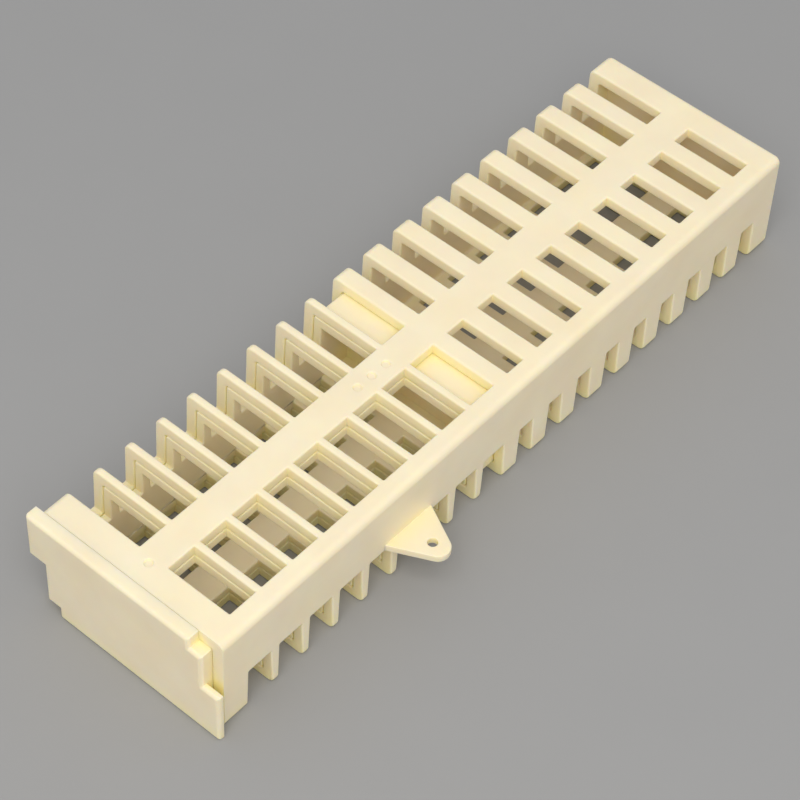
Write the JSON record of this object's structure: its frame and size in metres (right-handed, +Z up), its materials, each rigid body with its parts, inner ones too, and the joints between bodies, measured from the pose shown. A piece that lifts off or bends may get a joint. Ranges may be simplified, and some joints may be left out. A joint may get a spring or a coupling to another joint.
{
  "type": "queen cage",
  "caption": "Slotted plastic sleeve with a pull-out drawer, for holding a queen bee apart from or among her workers in a hive.",
  "frame": {"origin": "centre of the face the cage rests on, midway along the sleeve and across it", "axes": "+Y along the sleeve from its mouth to its closed end, +Z up from the face it rests on, +X towards the hanging tab"},
  "size_m": [0.0413, 0.1232, 0.018],
  "materials": {
    "sleeve_plastic": "cream moulded plastic, satin, slightly translucent",
    "drawer_plastic": "cream moulded plastic, satin, slightly translucent"
  },
  "bodies": {
    "sleeve": {"sleeve": "sleeve_plastic"},
    "drawer": {"drawer": "drawer_plastic"}
  },
  "joints": [
    {"name": "drawer_slide", "type": "slide", "parent": "sleeve", "child": "drawer", "axis": [0, -1, 0], "range_m": [0, 0.0588]}
  ]
}
